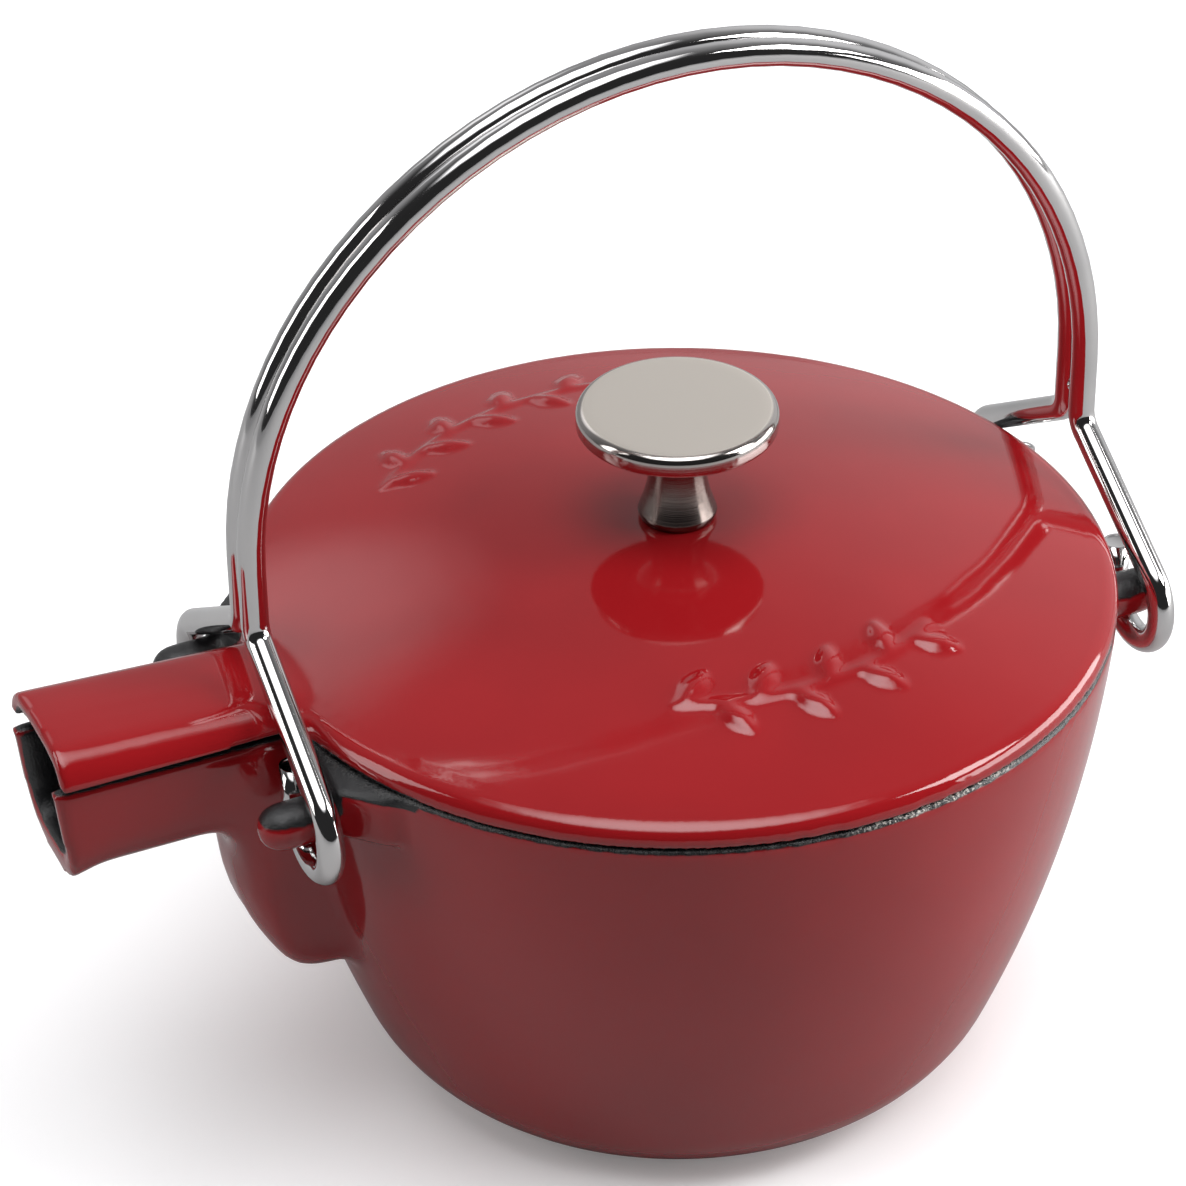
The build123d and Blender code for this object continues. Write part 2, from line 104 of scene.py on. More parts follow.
# %% Lights
# Each box: name, place in metres, width, height, power in watts
soft_box("right_box", (-0.88, 0.52, 1.02), 0.50, 0.50, 9.0)
soft_box("low_right_box", (-1.25, 0.45, 0.32), 1.3, 0.55, 17.0)
soft_box("left_box", (1.25, -0.30, 0.70), 0.5, 1.1, 6.5)
soft_box("top_box", (0.10, 0.20, 1.55), 1.1, 1.1, 3.5)

# %% A pale room around the kettle, dark on the camera's side
world = bpy.data.worlds.new("pale_studio")
scene.world = world
world.use_nodes = True
room = world.node_tree
sky = room.nodes["Background"]
direction = room.nodes.new("ShaderNodeTexCoord")
BACKDROP_LIGHT = 0.96  # what the camera sees behind the kettle


def glow_towards(vector, start, end, low, high):
    """Light that grows from low to high as a direction turns towards the vector."""
    turned = room.nodes.new("ShaderNodeVectorMath")
    turned.operation = "DOT_PRODUCT"
    turned.inputs[1].default_value = vector
    glow = room.nodes.new("ShaderNodeMapRange")
    glow.interpolation_type = "SMOOTHSTEP"
    for key, value in zip(("From Min", "From Max", "To Min", "To Max"), (start, end, low, high)):
        glow.inputs[key].default_value = value
    room.links.new(direction.outputs["Generated"], turned.inputs[0])
    room.links.new(turned.outputs["Value"], glow.inputs["Value"])
    return glow.outputs["Result"]


def sum_of(first, second):
    """Two lights added."""
    added = room.nodes.new("ShaderNodeMath")
    room.links.new(first, added.inputs[0])
    room.links.new(second, added.inputs[1])
    return added.outputs["Value"]


far_wall = glow_towards((-0.43, -0.90, 0.0), -0.35, 0.75, 0.03, 0.40)
right_wall = glow_towards((-0.80, -0.55, 0.25), 0.75, 1.0, 0.0, 0.45)
left_window = glow_towards((0.10, -0.82, 0.56), 0.955, 1.0, 0.0, 1.1)
ceiling = glow_towards((0.075, 0.156, 0.985), 0.87, 1.0, 0.0, 4.4)
light_seen = sum_of(sum_of(far_wall, right_wall), sum_of(left_window, ceiling))
seen = room.nodes.new("ShaderNodeLightPath")
strength = room.nodes.new("ShaderNodeMix")
strength.inputs["B"].default_value = BACKDROP_LIGHT
room.links.new(seen.outputs["Is Camera Ray"], strength.inputs["Factor"])
room.links.new(light_seen, strength.inputs["A"])
room.links.new(strength.outputs["Result"], sky.inputs["Strength"])
sky.inputs["Color"].default_value = (0.97, 0.98, 1.0, 1.0)
scene.view_settings.view_transform = "Standard"
scene.view_settings.look = "None"


# %% [markdown]
# The floor is only the stage and no part of the kettle. A white table would throw too much light up
# at the bowl, so the paper is white for the camera and grey for every other ray.

# %% Floor
def stage_sheet(name, width, height, material):
    """A flat sheet in its own plane, centred on its origin."""
    bm = bmesh.new()
    bmesh.ops.create_grid(bm, x_segments=1, y_segments=1, size=0.5)
    bmesh.ops.scale(bm, vec=(width, height, 1.0), verts=bm.verts)
    mesh = bpy.data.meshes.new(name)
    bm.to_mesh(mesh)
    bm.free()
    mesh.materials.append(material)
    return bpy.data.objects.new(name, mesh)


PAPER_FOR_CAMERA = (0.93, 0.93, 0.93, 1.0)
PAPER_FOR_LIGHT = (0.40, 0.40, 0.40, 1.0)
PAPER_GLOW = 0.14  # lightens the shadow, for the camera only
FLOOR_DROP = 0.0002  # keeps the paper just clear of the resting face

floor_paper = bpy.data.materials.new("floor_paper")
floor_paper.use_nodes = True
paper = floor_paper.node_tree
shader = paper.nodes["Principled BSDF"]
shader.inputs["Roughness"].default_value = 0.8
who_looks = paper.nodes.new("ShaderNodeLightPath")
tone = paper.nodes.new("ShaderNodeMix")
tone.data_type = "RGBA"
tone.inputs[6].default_value = PAPER_FOR_LIGHT
tone.inputs[7].default_value = PAPER_FOR_CAMERA
glow = paper.nodes.new("ShaderNodeMath")
glow.operation = "MULTIPLY"
glow.inputs[1].default_value = PAPER_GLOW
paper.links.new(who_looks.outputs["Is Camera Ray"], tone.inputs[0])
paper.links.new(tone.outputs[2], shader.inputs["Base Color"])
paper.links.new(who_looks.outputs["Is Camera Ray"], glow.inputs[0])
paper.links.new(glow.outputs["Value"], shader.inputs["Emission Strength"])

floor = stage_sheet("studio_floor", 8.0, 8.0, floor_paper)
scene.collection.objects.link(floor)
floor.location.z = -FLOOR_DROP
print("floor ready")

# %% [markdown]
# ## Red enamel over black enamel
# Each casting is dipped in black and sprayed red outside, so the inside, the rim and every cut edge
# stay black. One material does both: an attribute called lining says how far a point is past
# the border, in millimetres, and a little noise makes the border look sprayed instead of drawn.

# %% Small helpers for node materials
def new_material(name):
    """An empty node material and its Principled shader."""
    material = bpy.data.materials.new(name)
    material.use_nodes = True
    return material, material.node_tree.nodes["Principled BSDF"]


def add_node(material, kind, **settings):
    """A node of that kind, with its settings and its inputs' values."""
    node = material.node_tree.nodes.new(kind)
    for key, value in settings.items():
        if hasattr(node, key):
            setattr(node, key, value)
        else:
            node.inputs[key.replace("_", " ")].default_value = value
    return node


def wire(material, start, start_name, end, end_name):
    """A link between two sockets, by name or by number."""
    material.node_tree.links.new(start.outputs[start_name], end.inputs[end_name])


def noise_of(material, scale, detail=3.0, roughness=0.5):
    """Noise on the piece's own coordinates, scale in cells per metre."""
    place = add_node(material, "ShaderNodeTexCoord")
    noise = add_node(material, "ShaderNodeTexNoise", Scale=scale, Detail=detail, Roughness=roughness)
    wire(material, place, "Object", noise, "Vector")
    return noise


def remap(material, source, socket, low, high, to_low, to_high):
    """Values from low to high become to_low to to_high, and stop there."""
    node = add_node(material, "ShaderNodeMapRange", clamp=True)
    for key, value in zip(("From Min", "From Max", "To Min", "To Max"), (low, high, to_low, to_high)):
        node.inputs[key].default_value = value
    wire(material, source, socket, node, "Value")
    return node


def combine(material, operation, first, second):
    """A math node; each side is a number or a (node, socket) pair."""
    node = add_node(material, "ShaderNodeMath", operation=operation)
    for i, side in enumerate((first, second)):
        if isinstance(side, tuple):
            wire(material, side[0], side[1], node, i)
        else:
            node.inputs[i].default_value = side
    return node


def mix_colours(material, factor, first, second):
    """Mixes two colours, or two (node, socket) pairs, by a (node, socket) factor."""
    node = add_node(material, "ShaderNodeMix", data_type="RGBA")
    wire(material, factor[0], factor[1], node, 0)
    for socket, side in ((6, first), (7, second)):
        if isinstance(side[0], bpy.types.Node):
            wire(material, side[0], side[1], node, socket)
        else:
            node.inputs[socket].default_value = (*side, 1.0)
    return node


# %% Enamel
RED = (0.285, 0.0078, 0.0105)
DEEP_RED = (0.170, 0.004, 0.008)
BLACK = (0.010, 0.010, 0.011)
# painted highlight: the pale colour of the flecks on the black rim
HIGHLIGHT_FLECK = (0.72, 0.66, 0.60)


def enamel(name):
    """Glossy red outside, rougher black where the lining attribute is above zero."""
    material, shader = new_material(name)
    lining = add_node(material, "ShaderNodeAttribute", attribute_name="lining")
    border_noise = noise_of(material, 260.0, 4.0, 0.6)
    ragged = remap(material, border_noise, "Fac", 0.3, 0.7, -0.14, 0.14)
    border = combine(material, "ADD", (lining, "Fac"), (ragged, "Result"))
    black = remap(material, border, "Value", -0.10, 0.16, 0.0, 1.0)

    cloud = remap(material, noise_of(material, 28.0, 2.0), "Fac", 0.35, 0.65, 0.0, 1.0)
    red = mix_colours(material, (cloud, "Result"), RED, tuple(0.90 * c for c in RED))
    edge = add_node(material, "ShaderNodeAttribute", attribute_name="edge")
    thin = remap(material, edge, "Fac", 0.12, 0.50, 0.0, 0.75)
    red = mix_colours(material, (thin, "Result"), (red, 2), DEEP_RED)

    # painted highlight: pale flecks on the black, where the rim attribute is high, stand in for a
    # soft box's reflection on the rough black rim
    highlight_fleck_noise = noise_of(material, 1300.0, 2.0, 0.7)
    highlight_flecks = remap(material, highlight_fleck_noise, "Fac", 0.50, 0.60, 0.0, 1.0)
    rim = add_node(material, "ShaderNodeAttribute", attribute_name="rim")
    highlight_flecks = combine(material, "MULTIPLY", (highlight_flecks, "Result"), (rim, "Fac"))
    black_colour = mix_colours(material, (highlight_flecks, "Value"), BLACK, HIGHLIGHT_FLECK)

    colour = mix_colours(material, (black, "Result"), (red, 2), (black_colour, 2))
    wire(material, colour, 2, shader, "Base Color")
    roughness = remap(material, black, "Result", 0.0, 1.0, 0.075, 0.26)
    wire(material, roughness, "Result", shader, "Roughness")
    shader.inputs["IOR"].default_value = 1.52

    waves = noise_of(material, 75.0, 1.0, 0.4)
    peel = noise_of(material, 420.0, 2.0, 0.5)
    grain = noise_of(material, 2600.0, 3.0, 0.6)
    bump = add_node(material, "ShaderNodeBump", Strength=1.0, Distance=0.00006)
    wire(material, waves, "Fac", bump, "Height")
    fine = add_node(material, "ShaderNodeBump", Strength=1.0, Distance=0.000006)
    wire(material, peel, "Fac", fine, "Height")
    wire(material, bump, "Normal", fine, "Normal")
    rough = add_node(material, "ShaderNodeBump", Distance=0.00016)
    wire(material, black, "Result", rough, "Strength")
    wire(material, grain, "Fac", rough, "Height")
    wire(material, fine, "Normal", rough, "Normal")
    wire(material, rough, "Normal", shader, "Normal")
    return material


kettle_enamel = enamel("kettle_enamel")
print("enamel nodes:", len(kettle_enamel.node_tree.nodes))

# %% [markdown]
# ## From a machined solid to a casting
# A CAD solid has razor edges; a casting that wears three coats of glass has none. A copy of the
# solid is rebuilt from small cubes and then relaxed, which rounds every edge a little, fills the
# corners, and leaves even faces that reflect cleanly. Bevels edge by edge would never look so molten.

# %% Soft casting from a CAD node
WELD = 1.5e-5  # points closer than this become one


def welded_copy(node):
    """A copy of the node's mesh with its loose triangles joined, as a bmesh."""
    bm = bmesh.new()
    bm.from_mesh(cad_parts[node].data)
    bmesh.ops.remove_doubles(bm, verts=bm.verts, dist=WELD)
    return bm


def finished(obj):
    """Applies obj's modifiers, so that its mesh is what it shows."""
    bpy.context.view_layer.update()
    shown = obj.evaluated_get(bpy.context.evaluated_depsgraph_get())
    mesh = bpy.data.meshes.new_from_object(shown)
    obj.modifiers.clear()
    obj.data = mesh
    return obj


def new_piece(name, bm, body, material):
    """A smooth-shaded object from bm that rides its body."""
    mesh = bpy.data.meshes.new(name)
    bm.to_mesh(mesh)
    bm.free()
    mesh.shade_smooth()
    mesh.materials.append(material)
    piece = bpy.data.objects.new(name, mesh)
    scene.collection.objects.link(piece)
    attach(piece, body)
    return piece


def corners(piece):
    """All points of a piece in millimetres, as rows."""
    points = np.empty(len(piece.data.vertices) * 3)
    piece.data.vertices.foreach_get("co", points)
    return points.reshape(-1, 3) / MM


def soften(piece, cube, relax):
    """Rebuilds the piece from cubes of that size and relaxes it; stores how far each point sank."""
    cubes = piece.modifiers.new("cubes", "REMESH")
    cubes.mode = "VOXEL"
    cubes.voxel_size = cube
    cubes.use_smooth_shade = True
    finished(piece)
    before = corners(piece)
    relaxing = piece.modifiers.new("relax", "SMOOTH")
    relaxing.factor = 0.5
    relaxing.iterations = relax
    finished(piece)
    sunk = np.linalg.norm(corners(piece) - before, axis=1)
    store(piece, "edge", sunk)
    return piece


def settle(piece, depth, outward, reach):
    """Lays points that are within reach of a true surface onto it, in millimetres."""
    share = np.clip(np.abs(depth) / reach, 0, 1)
    stay = share * share * (3 - 2 * share)
    moved = corners(piece) - outward * (depth * (1 - stay))[:, None]
    piece.data.vertices.foreach_set("co", (moved * MM).ravel())
    piece.data.update()


def store(piece, name, values):
    """Writes one number per point as an attribute that a material can read."""
    attribute = piece.data.attributes.new(name, "FLOAT", "POINT")
    attribute.data.foreach_set("value", np.asarray(values, dtype=np.float32))


# %% [markdown]
# ## The bowl
# The bowl, its trough and its four pegs are one casting.

# %% Bowl with trough and pegs
bowl = new_piece("bowl_casting", welded_copy("kettle_body"), "kettle", kettle_enamel)
soften(bowl, 1.2 * MM, 5)
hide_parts("kettle_body")
print("bowl faces:", len(bowl.data.polygons))

# %% Where the bowl is black
BASE_RADIUS, HEEL_RADIUS, HEEL_TURN = 43.0, 22.0, radians(69.0)
RIM_RADIUS, RIM_HEIGHT, WALL = 82.0, 96.4, 4.0
heel_end = Vector((BASE_RADIUS + HEEL_RADIUS * sin(HEEL_TURN), HEEL_RADIUS * (1 - cos(HEEL_TURN))))
to_rim = Vector((RIM_RADIUS, RIM_HEIGHT)) - heel_end
inward = Vector((-sin(HEEL_TURN), cos(HEEL_TURN)))
side_radius = to_rim.length_squared / (2 * to_rim.dot(inward))
side_centre = heel_end + inward * side_radius


def bowl_radius(z):
    """The bowl's outside radius at each height."""
    heel = BASE_RADIUS + np.sqrt(np.clip(HEEL_RADIUS**2 - (HEEL_RADIUS - z) ** 2, 0, None))
    side = side_centre.x + np.sqrt(np.clip(side_radius**2 - (z - side_centre.y) ** 2, 0, None))
    return np.where(z < heel_end.y, heel, side)


def smallest(*fields):
    return np.minimum.reduce(fields)


def largest(*fields):
    return np.maximum.reduce(fields)


CHANNEL_HALF_WIDTH, CHANNEL_FLOOR, CHANNEL_ROUNDING = 8.8, 78.4, 5.2
FAIRING_HEIGHTS = (44.6, 46.6, 56.0, 67.6, 75.7, 78.4)  # inside front of the fairing
FAIRING_REACH = (72.0, 80.0, 86.4, 88.0, 89.4, 93.5)  # its x at those heights
PEG_Y, PEG_Z = 27.0, 87.6


def inside_corner(across, along, radius):
    """Depth inside two walls that meet in a rounding; each depth counts from its own wall."""
    past = np.hypot(np.clip(radius - across, 0, None), np.clip(radius - along, 0, None))
    return np.where(smallest(across, along) < radius, radius - past, smallest(across, along))


x, y, z = corners(bowl).T
r = np.hypot(x, y)
around = np.stack((x, y, 0 * z), axis=1) / np.maximum(r, 1.0)[:, None]
side_depth = np.where((z > 12.0) & (z < 94.0), r - bowl_radius(z), 1.0)
settle(bowl, side_depth, around, 0.15)
inside_bowl = smallest(bowl_radius(z) - r - WALL / 2, z - WALL / 2)
channel_side = CHANNEL_HALF_WIDTH - np.abs(y)
fairing_depth = np.interp(z, FAIRING_HEIGHTS, FAIRING_REACH) - x
inside_fairing = inside_corner(channel_side, fairing_depth, CHANNEL_ROUNDING) + 1.1
inside_fairing = smallest(inside_fairing, x - 60.0, z - 43.0)
inside_trough = inside_corner(channel_side, z - CHANNEL_FLOOR, CHANNEL_ROUNDING) + 0.7
inside_trough = smallest(inside_trough, x - 80.0)
rim_top = smallest(z - 95.4, 83.0 - r)
trough_top = smallest(z - 95.0, x - 81.0, 14.0 - np.abs(y))
ledge_top = smallest(z - 94.1, 42.0 - np.abs(y), np.abs(y) - 14.0, x - 60.0)
peg_side = np.abs(np.abs(y) - PEG_Y)
peg_reach = np.where(x > 0, x - 80.2, -76.5 - x)
peg_top = smallest((z - PEG_Z - 1.7) * 0.5, 6.0 - peg_side, peg_reach)
resting_face = smallest(0.3 - z, 43.5 - r)
black_parts = (inside_bowl, inside_fairing, inside_trough, rim_top, trough_top, ledge_top, peg_top)
store(bowl, "lining", largest(*black_parts, resting_face).clip(-2, 2))
# painted highlight: the rim attribute marks the top of the black rim, strongest between 84 and 114
# degrees round, where the right soft box is reflected, and faint elsewhere
turn = np.degrees(np.arctan2(y, x))
highlight_side = smallest(114.0 - turn, turn - 84.0)
store(bowl, "rim", (2.5 * rim_top).clip(0, 1) * (0.12 * highlight_side).clip(0.04, 1))
print("black share of the bowl:", round(float((largest(*black_parts) > 0).mean()), 2))

# %% [markdown]
# ## The lid
# The lid is a shallow dome with a rolled edge and a hood, the roof of the spout. Two raised sprigs of
# tea leaves follow its edge, cast in one with it.

# %% Dome and leaf sprigs
DOME_RADIUS, DOME_CENTRE_Z = 274.4, -161.9


def on_dome(radius, angle):
    """A point of the dome and its outward direction, in metres."""
    across = Vector((radius * cos(angle), radius * sin(angle), 0.0))
    up = Vector((across.x, across.y, sqrt(DOME_RADIUS**2 - radius**2)))
    return (up + Vector((0, 0, DOME_CENTRE_Z))) * MM, up.normalized()


def tangent_frame(point, normal, heading):
    """A matrix whose Z is the normal and whose X is the heading laid on the dome."""
    x_axis = (heading - normal * heading.dot(normal)).normalized()
    y_axis = normal.cross(x_axis)
    matrix = Matrix((x_axis, y_axis, normal)).transposed().to_4x4()
    matrix.translation = point
    return matrix


def add_leaf(bm, place, length, width, height):
    """A pointed oval cushion, half sunk in the dome."""
    made = bmesh.ops.create_uvsphere(bm, u_segments=24, v_segments=12, radius=1.0)
    for vert in made["verts"]:
        taper = 1.0 - 0.55 * abs(vert.co.x) ** 1.5
        vert.co = (vert.co.x * length / 2, vert.co.y * width / 2 * taper, vert.co.z * height)
    bmesh.ops.transform(bm, matrix=place, verts=made["verts"])


def add_sprig(bm, radius, start, end, leaves):
    """A stem along an arc of the lid, with leaves on alternating sides."""
    for i in range(leaves):
        angle = radians(start + (end - start) * (i + 0.5) / leaves)
        point, normal = on_dome(radius, angle)
        along = Vector((-sin(angle), cos(angle), 0.0)) * (1 if end > start else -1)
        outward = Vector((cos(angle), sin(angle), 0.0))
        side = 1 if i % 2 else -1
        heading = along + outward * side * 1.7
        leaf_point, leaf_normal = on_dome(radius + side * 3.6, angle)
        place = tangent_frame(leaf_point, leaf_normal, heading)
        add_leaf(bm, place, 9.6 * MM, 4.2 * MM, 1.15 * MM)
    steps = leaves * 4
    for i in range(steps):
        angle = radians(start + (end - start) * (i + 0.5) / steps)
        point, normal = on_dome(radius, angle)
        along = Vector((-sin(angle), cos(angle), 0.0))
        reach = abs(radians(end - start)) * radius * MM / steps
        add_leaf(bm, tangent_frame(point, normal, along), reach * 2.1, 1.5 * MM, 0.75 * MM)


lid_mesh = welded_copy("lid")
add_sprig(lid_mesh, 53.5, 64.0, 122.0, 8)
add_sprig(lid_mesh, 58.0, -44.0, -112.0, 10)
lid = new_piece("lid_casting", lid_mesh, "lid", kettle_enamel)
soften(lid, 0.8 * MM, 4)
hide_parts("lid")
print("lid faces:", len(lid.data.polygons))

# %% Where the lid is black
LID_WALL, HOOD_WALL, HOOD_HALF_WIDTH, HOOD_CROWN, HOOD_EDGE_Z = 4.2, 3.0, 15.0, 1.2, 97.2
HOOD_TIP_X, HOOD_TOP_Z, HOOD_ROOT_TOP_Z, HOOD_ROUNDING = 125.2, 104.1, 102.0, 4.6
from_centre = corners(lid) - (0.0, 0.0, DOME_CENTRE_Z)
length = np.linalg.norm(from_centre, axis=1)
x, y, z = corners(lid).T
r = np.hypot(x, y)
dome_depth = np.where((r > 10.0) & (r < 77.0), length - DOME_RADIUS, 1.0)
settle(lid, dome_depth, from_centre / length[:, None], 0.10)
dome_z = DOME_CENTRE_Z + np.sqrt(np.clip(DOME_RADIUS**2 - r**2, 0, None))
hood_slope = (HOOD_TOP_Z - HOOD_ROOT_TOP_Z) / (HOOD_TIP_X - RIM_RADIUS)
hood_top = HOOD_TOP_Z - hood_slope * (HOOD_TIP_X - x) - HOOD_CROWN * (y / HOOD_HALF_WIDTH) ** 2
under_dome = smallest(dome_z - LID_WALL / 2 - z, 77.5 - r)
under_flange = smallest(97.0 - z, 82.5 - r)
channel_roof = hood_top - HOOD_WALL - z
channel_side = HOOD_HALF_WIDTH - HOOD_WALL - np.abs(y)
under_hood = smallest(inside_corner(channel_side, channel_roof, HOOD_ROUNDING) + 0.7, x - 70.0)
hood_edge = smallest(HOOD_EDGE_Z + 0.3 - z, x - 70.0)
store(lid, "lining", largest(under_dome, under_flange, under_hood, hood_edge).clip(-2, 2))
store(lid, "rim", np.zeros(len(x)))
print("lid points:", len(x))

# %% [markdown]
# ## Chrome
# Chrome plating is a mirror with hardly any colour of its own. A trace of uneven roughness keeps it
# from looking like computer chrome.

# %% Chrome and turned nickel
def chrome_plate(name):
    material, shader = new_material(name)
    shader.inputs["Metallic"].default_value = 1.0
    smudge = remap(material, noise_of(material, 60.0, 4.0), "Fac", 0.35, 0.7, 0.0, 1.0)
    tint = mix_colours(material, (smudge, "Result"), (0.63, 0.615, 0.61), (0.57, 0.56, 0.56))
    wire(material, tint, 2, shader, "Base Color")
    gloss = remap(material, smudge, "Result", 0.0, 1.0, 0.045, 0.09)
    wire(material, gloss, "Result", shader, "Roughness")
    return material


def turned_nickel(name, brushed_radius, brushed_from_z, stem_below_z):
    """Satin rings where the lathe tool ran across the top, polished elsewhere, with a lighter tint on
    top as painted highlight and a darker one on the stem as painted shade.
    """
    material, shader = new_material(name)
    shader.inputs["Metallic"].default_value = 1.0
    place = add_node(material, "ShaderNodeTexCoord")
    split = add_node(material, "ShaderNodeSeparateXYZ")
    wire(material, place, "Object", split, "Vector")
    flat = add_node(material, "ShaderNodeCombineXYZ")
    wire(material, split, "X", flat, "X")
    wire(material, split, "Y", flat, "Y")
    radius = add_node(material, "ShaderNodeVectorMath", operation="LENGTH")
    wire(material, flat, "Vector", radius, 0)
    inner = remap(material, radius, "Value", brushed_radius - 0.0004, brushed_radius, 1.0, 0.0)
    high = remap(material, split, "Z", brushed_from_z - 0.0002, brushed_from_z, 0.0, 1.0)
    satin_and_highlight = combine(material, "MULTIPLY", (inner, "Result"), (high, "Result"))
    lathe = add_node(material, "ShaderNodeCombineXYZ")
    wire(material, radius, "Value", lathe, "X")
    wire(material, split, "Z", lathe, "Z")
    rings = add_node(material, "ShaderNodeTexNoise", Scale=5200.0, Detail=3.0, Roughness=0.7)
    wire(material, lathe, "Vector", rings, "Vector")
    # painted light and shade: one nickel gets a light tint on the satin top as painted highlight and
    # a dark tint on the polished sides, partly painted shade
    tint = mix_colours(material, (satin_and_highlight, "Value"), (0.46, 0.425, 0.405), (0.90, 0.825, 0.74))
    # painted shade: the stem gets a darker tint still, for the dark surroundings it reflects
    stem = remap(material, split, "Z", stem_below_z - 0.0012, stem_below_z - 0.0004, 1.0, 0.0)
    tint = mix_colours(material, (stem, "Result"), (tint, 2), (0.20, 0.165, 0.15))
    wire(material, tint, 2, shader, "Base Color")
    gloss = remap(material, satin_and_highlight, "Value", 0.0, 1.0, 0.10, 0.34)
    duller = remap(material, stem, "Result", 0.0, 1.0, 0.0, 0.08)
    gloss = combine(material, "ADD", (gloss, "Result"), (duller, "Result"))
    wire(material, gloss, "Value", shader, "Roughness")
    bump = add_node(material, "ShaderNodeBump", Distance=0.00002)
    deeper = remap(material, stem, "Result", 0.0, 1.0, 0.5, 1.0)
    wire(material, deeper, "Result", bump, "Strength")
    wire(material, rings, "Fac", bump, "Height")
    wire(material, bump, "Normal", shader, "Normal")
    return material


handle_chrome = chrome_plate("handle_chrome")
knob_nickel = turned_nickel("knob_nickel", 0.0176, 0.1355, 0.1317)
screw_steel = turned_nickel("screw_steel", 0.0, 1.0, 0.0)

# %% [markdown]
# ## The knob
# The knob is turned on a lathe, so it is modelled the same way: half an outline, spun once round.

# %% Turned knob
def spun(outline, steps):
    """A closed surface of revolution from (radius, z) points in millimetres, axis to axis."""
    bm = bmesh.new()
    verts = [bm.verts.new((radius * MM, 0.0, height * MM)) for radius, height in outline]
    edges = [bm.edges.new(pair) for pair in zip(verts, verts[1:])]
    bmesh.ops.spin(
        bm, geom=verts + edges, cent=(0, 0, 0), axis=(0, 0, 1), dvec=(0, 0, 0),
        angle=2 * pi, steps=steps, use_merge=True, use_duplicate=False,
    )
    bmesh.ops.remove_doubles(bm, verts=bm.verts, dist=2e-6)
    bmesh.ops.recalc_face_normals(bm, faces=bm.faces)
    return bm


def curve_points(start, start_pull, end_pull, end, count):
    """Points on a free curve with two handles, without its first point."""
    flat = [Vector((*p, 0.0)) for p in (start, start_pull, end_pull, end)]
    return [(p.x, p.y) for p in interpolate_bezier(*flat, count)[1:]]


SEAT_Z, DISC_Z, KNOB_TOP_Z, KNOB_RADIUS = 112.35, 131.7, 135.7, 18.6
FOOT, WAIST = (7.35, SEAT_Z + 1.5), (5.2, SEAT_Z + 12.2)
knob_outline = [(0.0, SEAT_Z), (6.7, SEAT_Z), (6.95, SEAT_Z + 0.15), (7.3, SEAT_Z + 1.1), FOOT]
knob_outline += curve_points(FOOT, (6.55, SEAT_Z + 3.9), (5.2, SEAT_Z + 7.0), WAIST, 24)
knob_outline += curve_points(WAIST, (5.2, SEAT_Z + 16.4), (6.9, DISC_Z), (11.0, DISC_Z), 24)
knob_outline += [(13.0, DISC_Z), (15.5, DISC_Z), (17.9, DISC_Z)]
knob_outline += curve_points(
    (17.9, DISC_Z), (18.35, DISC_Z), (KNOB_RADIUS, DISC_Z + 0.25), (KNOB_RADIUS, DISC_Z + 0.8), 8,
)
knob_outline += [(KNOB_RADIUS, DISC_Z + 1.4), (KNOB_RADIUS, KNOB_TOP_Z - 1.7)]
knob_outline += curve_points(
    (KNOB_RADIUS, KNOB_TOP_Z - 1.7), (KNOB_RADIUS, KNOB_TOP_Z - 0.75),
    (KNOB_RADIUS - 0.75, KNOB_TOP_Z), (KNOB_RADIUS - 1.7, KNOB_TOP_Z), 12,
)
knob_outline += [(15.0, KNOB_TOP_Z), (10.0, KNOB_TOP_Z), (5.0, KNOB_TOP_Z), (0.0, KNOB_TOP_Z)]
knob = new_piece("turned_knob", spun(knob_outline, 128), "lid", knob_nickel)
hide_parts("lid_knob")
print("knob faces:", len(knob.data.polygons))

# %% [markdown]
# ## The handle
# Two rods are bent on the same jig and welded where they part. A rod is a circle that is pushed
# straight or swung round a bend, which is what a wire bender does, so the script bends it too.

# %% Rod bending
ROD_RADIUS, ROD_Y = 2.55, 2.62
ARCH_HALF_WIDTH, ARCH_APEX_Z = 84.1, 206.4
SIDE_ARC_RADIUS, SIDE_ARC_TURN = 78.0, radians(40.0)
SPLIT_Z, SPLIT_BEND_RADIUS = 112.0, 5.0
HOOK_RADIUS, HOOK_Y, HOOK_Z, HOOK_END_Z = 8.6, 27.0, 86.2, 93.6

to_hook = Vector((HOOK_Y - ROD_Y, HOOK_Z - SPLIT_Z))
leg_angle = atan2(to_hook.y, to_hook.x) + asin(HOOK_RADIUS / to_hook.length)
leg_length = sqrt(to_hook.length_squared - HOOK_RADIUS**2)
setback = SPLIT_BEND_RADIUS * sin((pi / 2 + leg_angle) / 2) / cos((pi / 2 + leg_angle) / 2)
shoulder_x = ARCH_HALF_WIDTH - SIDE_ARC_RADIUS * (1 - cos(SIDE_ARC_TURN))
top_radius = shoulder_x / cos(SIDE_ARC_TURN)
shoulder_z = ARCH_APEX_Z - top_radius * (1 - sin(SIDE_ARC_TURN))
foot_z = shoulder_z - SIDE_ARC_RADIUS * sin(SIDE_ARC_TURN)
print("leg", round(leg_length, 2), "mm at", round(degrees(leg_angle), 1), "degrees")
print("top arc", round(top_radius, 1), "mm")


def push(bm, ring, step):
    """Lengthens the rod straight by a step in millimetres."""
    made = bmesh.ops.extrude_edge_only(bm, edges=ring)["geom"]
    verts = [part for part in made if isinstance(part, bmesh.types.BMVert)]
    bmesh.ops.translate(bm, vec=Vector(step) * MM, verts=verts)
    return [edge for edge in made if isinstance(edge, bmesh.types.BMEdge)]


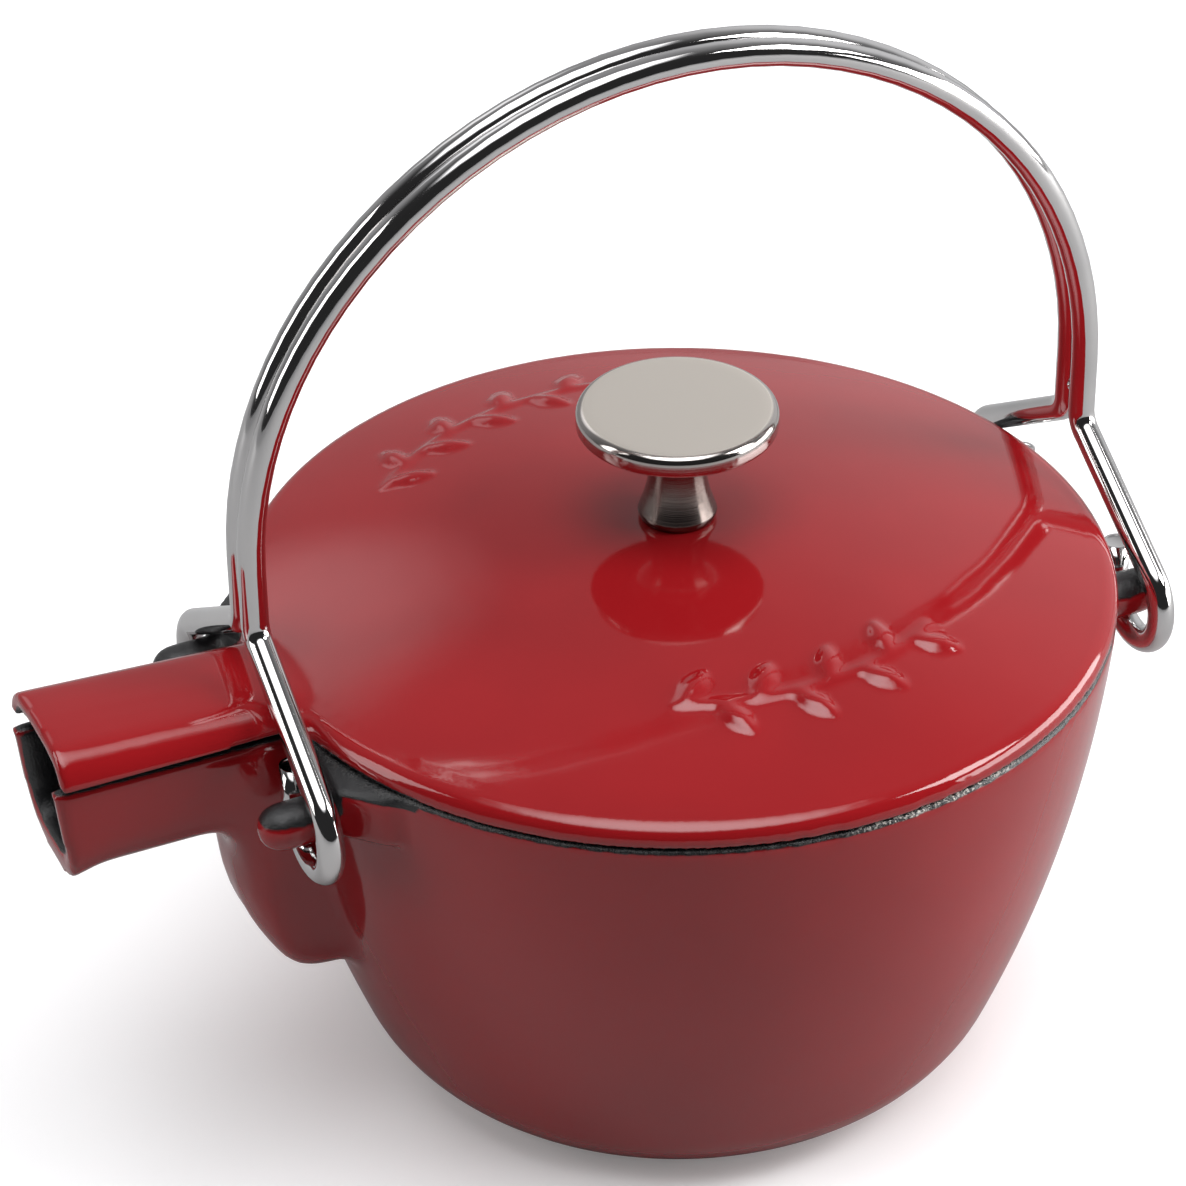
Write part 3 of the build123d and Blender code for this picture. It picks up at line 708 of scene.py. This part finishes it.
def swing(bm, ring, centre, axis, angle):
    """Bends the rod round a centre, one step for every four degrees."""
    verts = list({vert for edge in ring for vert in edge.verts})
    steps = max(2, round(degrees(abs(angle)) / 4))
    made = bmesh.ops.spin(
        bm, geom=verts + ring, cent=Vector(centre) * MM, axis=axis, dvec=(0, 0, 0),
        angle=angle, steps=steps, use_merge=False, use_duplicate=False,
    )
    return [part for part in made["geom_last"] if isinstance(part, bmesh.types.BMEdge)]


def bent_rod(side):
    """One rod, on the left (+1) or the right (-1) of the kettle."""
    bm = bmesh.new()
    start = Matrix.Translation(Vector((ARCH_HALF_WIDTH, HOOK_Y - HOOK_RADIUS, HOOK_END_Z)) * MM)
    bmesh.ops.create_circle(bm, cap_ends=False, segments=32, radius=ROD_RADIUS * MM, matrix=start)
    first = list(bm.edges)
    ring = push(bm, first, (0, 0, HOOK_Z - HOOK_END_Z))
    ring = swing(bm, ring, (ARCH_HALF_WIDTH, HOOK_Y, HOOK_Z), (1, 0, 0), 1.5 * pi + leg_angle)
    run = leg_length - setback
    ring = push(bm, ring, (0, -run * cos(leg_angle), -run * sin(leg_angle)))
    split_top = SPLIT_Z + setback
    bend_centre = (ARCH_HALF_WIDTH, ROD_Y + SPLIT_BEND_RADIUS, split_top)
    ring = swing(bm, ring, bend_centre, (1, 0, 0), -(pi / 2 + leg_angle))
    ring = push(bm, ring, (0, 0, foot_z - split_top))
    side_centre = (ARCH_HALF_WIDTH - SIDE_ARC_RADIUS, ROD_Y, foot_z)
    ring = swing(bm, ring, side_centre, (0, 1, 0), -SIDE_ARC_TURN)
    ring = swing(bm, ring, (0, ROD_Y, ARCH_APEX_Z - top_radius), (0, 1, 0), SIDE_ARC_TURN - pi / 2)
    cap = bmesh.ops.contextual_create(bm, geom=first)["faces"]
    for depth, lift in ((0.35, 0.22), (0.5, 0.1)):
        bmesh.ops.inset_region(bm, faces=cap, thickness=depth * MM, depth=lift * MM)
    bmesh.ops.mirror(bm, geom=bm.verts[:] + bm.edges[:] + bm.faces[:], axis="X", merge_dist=5e-6)
    if side < 0:
        bmesh.ops.scale(bm, vec=(1, -1, 1), verts=bm.verts)
    bmesh.ops.remove_doubles(bm, verts=bm.verts, dist=2e-6)
    bmesh.ops.recalc_face_normals(bm, faces=bm.faces)
    return bm


for name, side in (("left", 1), ("right", -1)):
    rod = new_piece(f"{name}_rod", bent_rod(side), "handle", handle_chrome)
    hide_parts(f"handle_{name}_rod")
    span = corners(rod)
    print(rod.name, len(rod.data.polygons), "faces, box", span.min(0).round(1), span.max(0).round(1))

# %% [markdown]
# ## Welds
# Where the rods part, a short bead fills the groove between them. Plating follows it, lumps and all.

# %% Weld beads
bead_mesh = bmesh.new()
low, high = (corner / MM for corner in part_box("handle_weld_beads"))
for end in (-1, 1):
    for i in range(6):
        rise = low.z + (high.z - low.z) * (i + 0.5) / 6
        wobble = 0.25 * sin(5.0 * i + end)
        spot = Matrix.Translation(Vector((end * ARCH_HALF_WIDTH + wobble, 0.0, rise)) * MM)
        size = Matrix.Diagonal((1.55 + 0.12 * sin(3.0 * i), 0.9, 0.75, 1.0))
        bmesh.ops.create_icosphere(bead_mesh, subdivisions=3, radius=MM, matrix=spot @ size)
beads = new_piece("weld_beads", bead_mesh, "handle", handle_chrome)
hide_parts("handle_weld_beads")
print("bead faces:", len(beads.data.polygons))

# %% [markdown]
# ## Screw and washers
# These three small turned parts keep their CAD shape and get turned steel.

# %% Steel fasteners
for node in ("knob_screw", "flat_washer", "spring_washer"):
    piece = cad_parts[node]
    piece.data.materials.clear()
    piece.data.materials.append(screw_steel)
